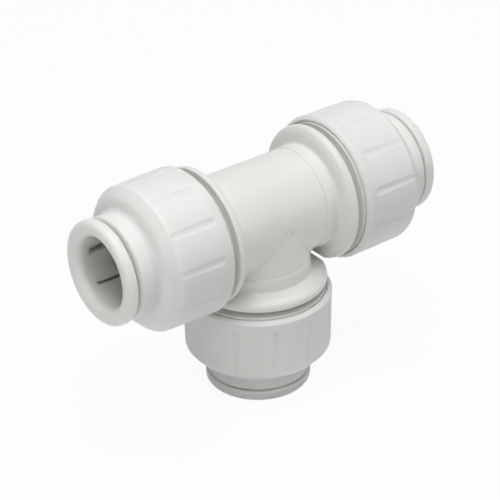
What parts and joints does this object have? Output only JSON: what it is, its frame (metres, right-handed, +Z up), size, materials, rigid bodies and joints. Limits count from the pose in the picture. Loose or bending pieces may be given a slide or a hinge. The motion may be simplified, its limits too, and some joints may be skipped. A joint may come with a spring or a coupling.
{
  "type": "push-fit tee",
  "caption": "Equal push-fit plumbing tee with fluted twist-lock caps, release collets, seals and steel grips at every port.",
  "frame": {"origin": "centre of the branch mouth, on the plane of its flange face, which is the lowest point", "axes": "+X along the run to the right port, +Y to the back, +Z up, so the branch points down along -Z"},
  "size_m": [0.0814, 0.032, 0.0563],
  "materials": {
    "body_moulding": "satin moulded",
    "cap_moulding": "satin moulded",
    "collet_moulding": "satin moulded",
    "spacer_moulding": "satin moulded",
    "seal_rubber": "smooth moulded rubber",
    "grip_steel": "stamped stainless steel"
  },
  "bodies": {
    "fitting": {"tee_body": "body_moulding", "o_ring_left": "seal_rubber", "o_ring_right": "seal_rubber", "o_ring_branch": "seal_rubber"},
    "spacer_left": {"spacer_left": "spacer_moulding"},
    "cap_left": {"cap_left": "cap_moulding"},
    "collet_left": {"collet_left": "collet_moulding", "grip_tooth_left_1": "grip_steel", "grip_tooth_left_2": "grip_steel", "grip_tooth_left_3": "grip_steel", "grip_tooth_left_4": "grip_steel", "grip_tooth_left_5": "grip_steel", "grip_tooth_left_6": "grip_steel"},
    "spacer_right": {"spacer_right": "spacer_moulding"},
    "cap_right": {"cap_right": "cap_moulding"},
    "collet_right": {"collet_right": "collet_moulding", "grip_tooth_right_1": "grip_steel", "grip_tooth_right_2": "grip_steel", "grip_tooth_right_3": "grip_steel", "grip_tooth_right_4": "grip_steel", "grip_tooth_right_5": "grip_steel", "grip_tooth_right_6": "grip_steel"},
    "spacer_branch": {"spacer_branch": "spacer_moulding"},
    "cap_branch": {"cap_branch": "cap_moulding"},
    "collet_branch": {"collet_branch": "collet_moulding", "grip_tooth_branch_1": "grip_steel", "grip_tooth_branch_2": "grip_steel", "grip_tooth_branch_3": "grip_steel", "grip_tooth_branch_4": "grip_steel", "grip_tooth_branch_5": "grip_steel", "grip_tooth_branch_6": "grip_steel"}
  },
  "joints": [
    {"name": "cap_advance_left", "type": "slide", "parent": "fitting", "child": "spacer_left", "axis": [1, 0, 0], "range_m": [0, 0.0014]},
    {"name": "cap_turn_left", "type": "hinge", "parent": "spacer_left", "child": "cap_left", "pos_m": [0, 0, 0.0403], "axis": [1, 0, 0], "range_deg": [0, 90]},
    {"name": "collet_slide_left", "type": "slide", "parent": "cap_left", "child": "collet_left", "axis": [-1, 0, 0], "range_m": [-0.0008, 0.0004]},
    {"name": "cap_advance_right", "type": "slide", "parent": "fitting", "child": "spacer_right", "axis": [-1, 0, 0], "range_m": [0, 0.0014]},
    {"name": "cap_turn_right", "type": "hinge", "parent": "spacer_right", "child": "cap_right", "pos_m": [0, 0, 0.0403], "axis": [-1, 0, 0], "range_deg": [0, 90]},
    {"name": "collet_slide_right", "type": "slide", "parent": "cap_right", "child": "collet_right", "axis": [1, 0, 0], "range_m": [0, 0.0012]},
    {"name": "cap_advance_branch", "type": "slide", "parent": "fitting", "child": "spacer_branch", "axis": [0, 0, 1], "range_m": [0, 0.0014]},
    {"name": "cap_turn_branch", "type": "hinge", "parent": "spacer_branch", "child": "cap_branch", "pos_m": [0, 0, 0.0403], "axis": [0, 0, 1], "range_deg": [0, 90]},
    {"name": "collet_slide_branch", "type": "slide", "parent": "cap_branch", "child": "collet_branch", "axis": [0, 0, -1], "range_m": [0, 0.0012]}
  ],
  "couplings": [
    {"joint": "cap_turn_left", "follows": "cap_advance_left", "rad_per_m": 1122},
    {"joint": "cap_turn_right", "follows": "cap_advance_right", "rad_per_m": 1122},
    {"joint": "cap_turn_branch", "follows": "cap_advance_branch", "rad_per_m": 1122}
  ]
}
